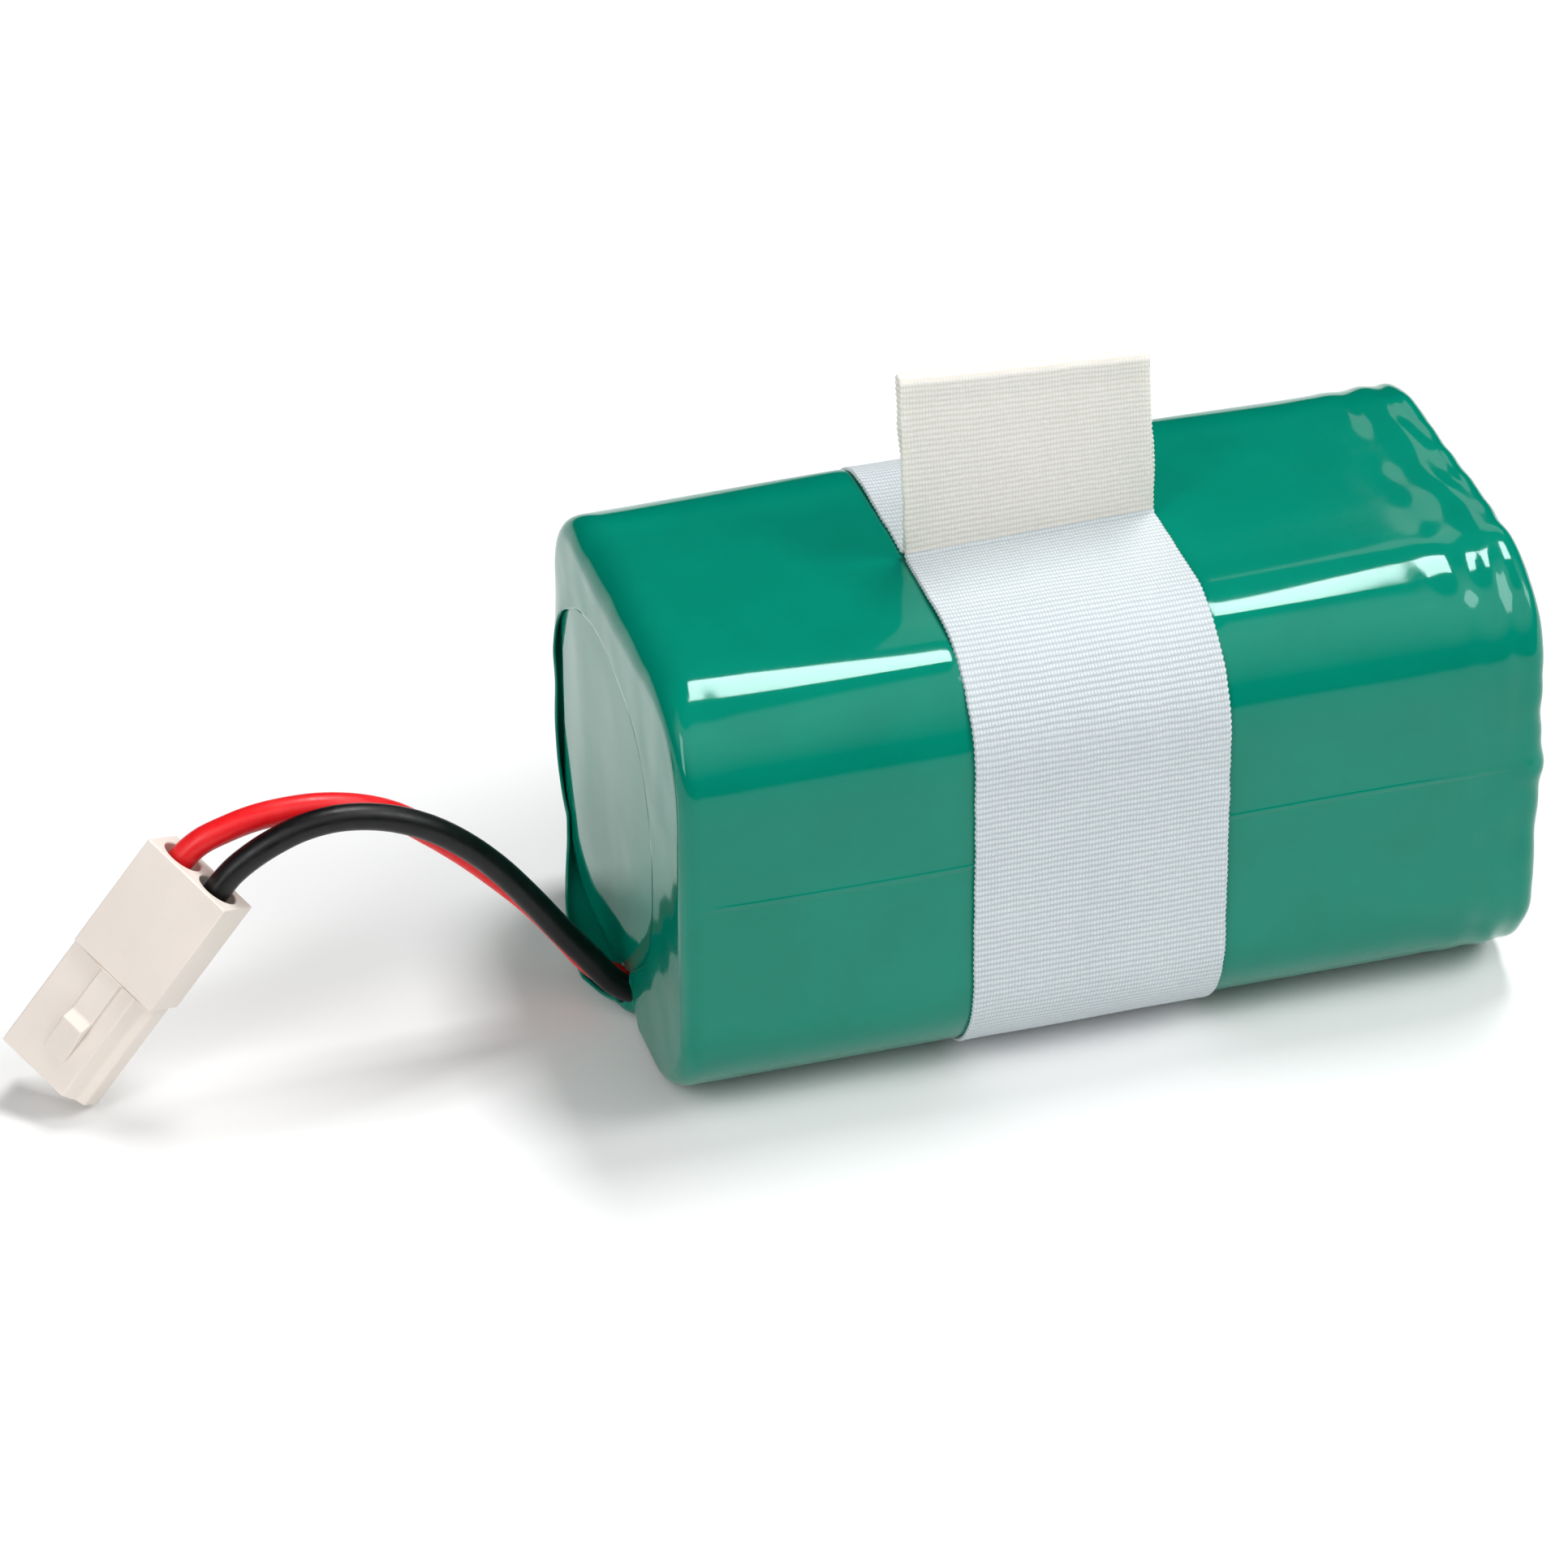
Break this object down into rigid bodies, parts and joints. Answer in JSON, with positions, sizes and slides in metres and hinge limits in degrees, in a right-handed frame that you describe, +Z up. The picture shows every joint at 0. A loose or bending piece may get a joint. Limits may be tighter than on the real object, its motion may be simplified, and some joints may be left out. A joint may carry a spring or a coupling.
{
  "type": "rechargeable cell pack with pull tab and plug",
  "caption": "Block-shaped rechargeable lithium-ion pack in a teal shrink sleeve, with a woven ribbon pull tab and a red and a black lead to a white plug.",
  "frame": {"origin": "under the middle of the sleeve, on the plane that the ribbon band rests on: the base mount", "axes": "+X along the cells, away from the leads; -Y is the front, with the plug's latch towards it; +Z up, with the pull tab on top"},
  "size_m": [0.117, 0.0388, 0.0538],
  "materials": {
    "sleeve_pvc": "gloss teal heat-shrink film",
    "end_sheet": "gloss teal insulating sheet",
    "fish_paper": "matt insulating paper",
    "cell_wrap": "semi-gloss shrink film",
    "cell_steel": "bright nickel-plated steel",
    "electrode": "wound coated foil and separator",
    "gasket_pp": "matt moulded polypropylene",
    "nickel": "satin rolled nickel",
    "circuit_board": "glass laminate with green solder mask",
    "component_black": "matt moulded epoxy",
    "capacitor_ceramic": "matt ceramic",
    "solder": "bright solder",
    "ribbon": "plain woven polyester ribbon",
    "tab_ribbon": "plain woven ribbon, doubled",
    "tab_glue": "hot-melt glue film",
    "lead_red": "semi-gloss flexible PVC",
    "lead_black": "semi-gloss flexible PVC",
    "plug_nylon": "semi-matt moulded nylon",
    "terminal_tin": "tinned brass"
  },
  "bodies": {
    "pack": {"shrink_sleeve": "sleeve_pvc", "left_end_sheet": "end_sheet", "right_end_sheet": "end_sheet", "left_insulator": "fish_paper", "right_insulator": "fish_paper", "strip_1_2": "nickel", "strip_3_4": "nickel", "strip_2_3": "nickel", "strip_negative": "nickel", "strip_positive": "nickel", "protection_board": "circuit_board", "control_chip": "component_black", "shunt_resistor": "component_black", "mosfet_1": "component_black", "mosfet_2": "component_black", "capacitor_1": "capacitor_ceramic", "capacitor_2": "capacitor_ceramic", "red_solder": "solder", "black_solder": "solder", "sense_wire_1": "lead_red", "sense_wire_2": "lead_black", "ribbon_band": "ribbon", "plug_housing": "plug_nylon", "red_terminal": "terminal_tin", "black_terminal": "terminal_tin", "red_lead": "lead_red", "black_lead": "lead_black", "cell_1_can": "cell_steel", "cell_1_wrap": "cell_wrap", "cell_1_electrode_roll": "electrode", "cell_1_gasket": "gasket_pp", "cell_1_cap": "cell_steel", "cell_2_can": "cell_steel", "cell_2_wrap": "cell_wrap", "cell_2_electrode_roll": "electrode", "cell_2_gasket": "gasket_pp", "cell_2_cap": "cell_steel", "cell_3_can": "cell_steel", "cell_3_wrap": "cell_wrap", "cell_3_electrode_roll": "electrode", "cell_3_gasket": "gasket_pp", "cell_3_cap": "cell_steel", "cell_4_can": "cell_steel", "cell_4_wrap": "cell_wrap", "cell_4_electrode_roll": "electrode", "cell_4_gasket": "gasket_pp", "cell_4_cap": "cell_steel"},
    "tab": {"pull_tab": "tab_ribbon", "tab_glue": "tab_glue"}
  },
  "joints": [
    {"name": "tab_fold", "type": "hinge", "parent": "pack", "child": "tab", "pos_m": [-0.00125, -0.0007, 0.03865], "axis": [1, 0, 0], "range_deg": [-85, 85], "stiffness_Nm_per_rad": 0.0002}
  ]
}
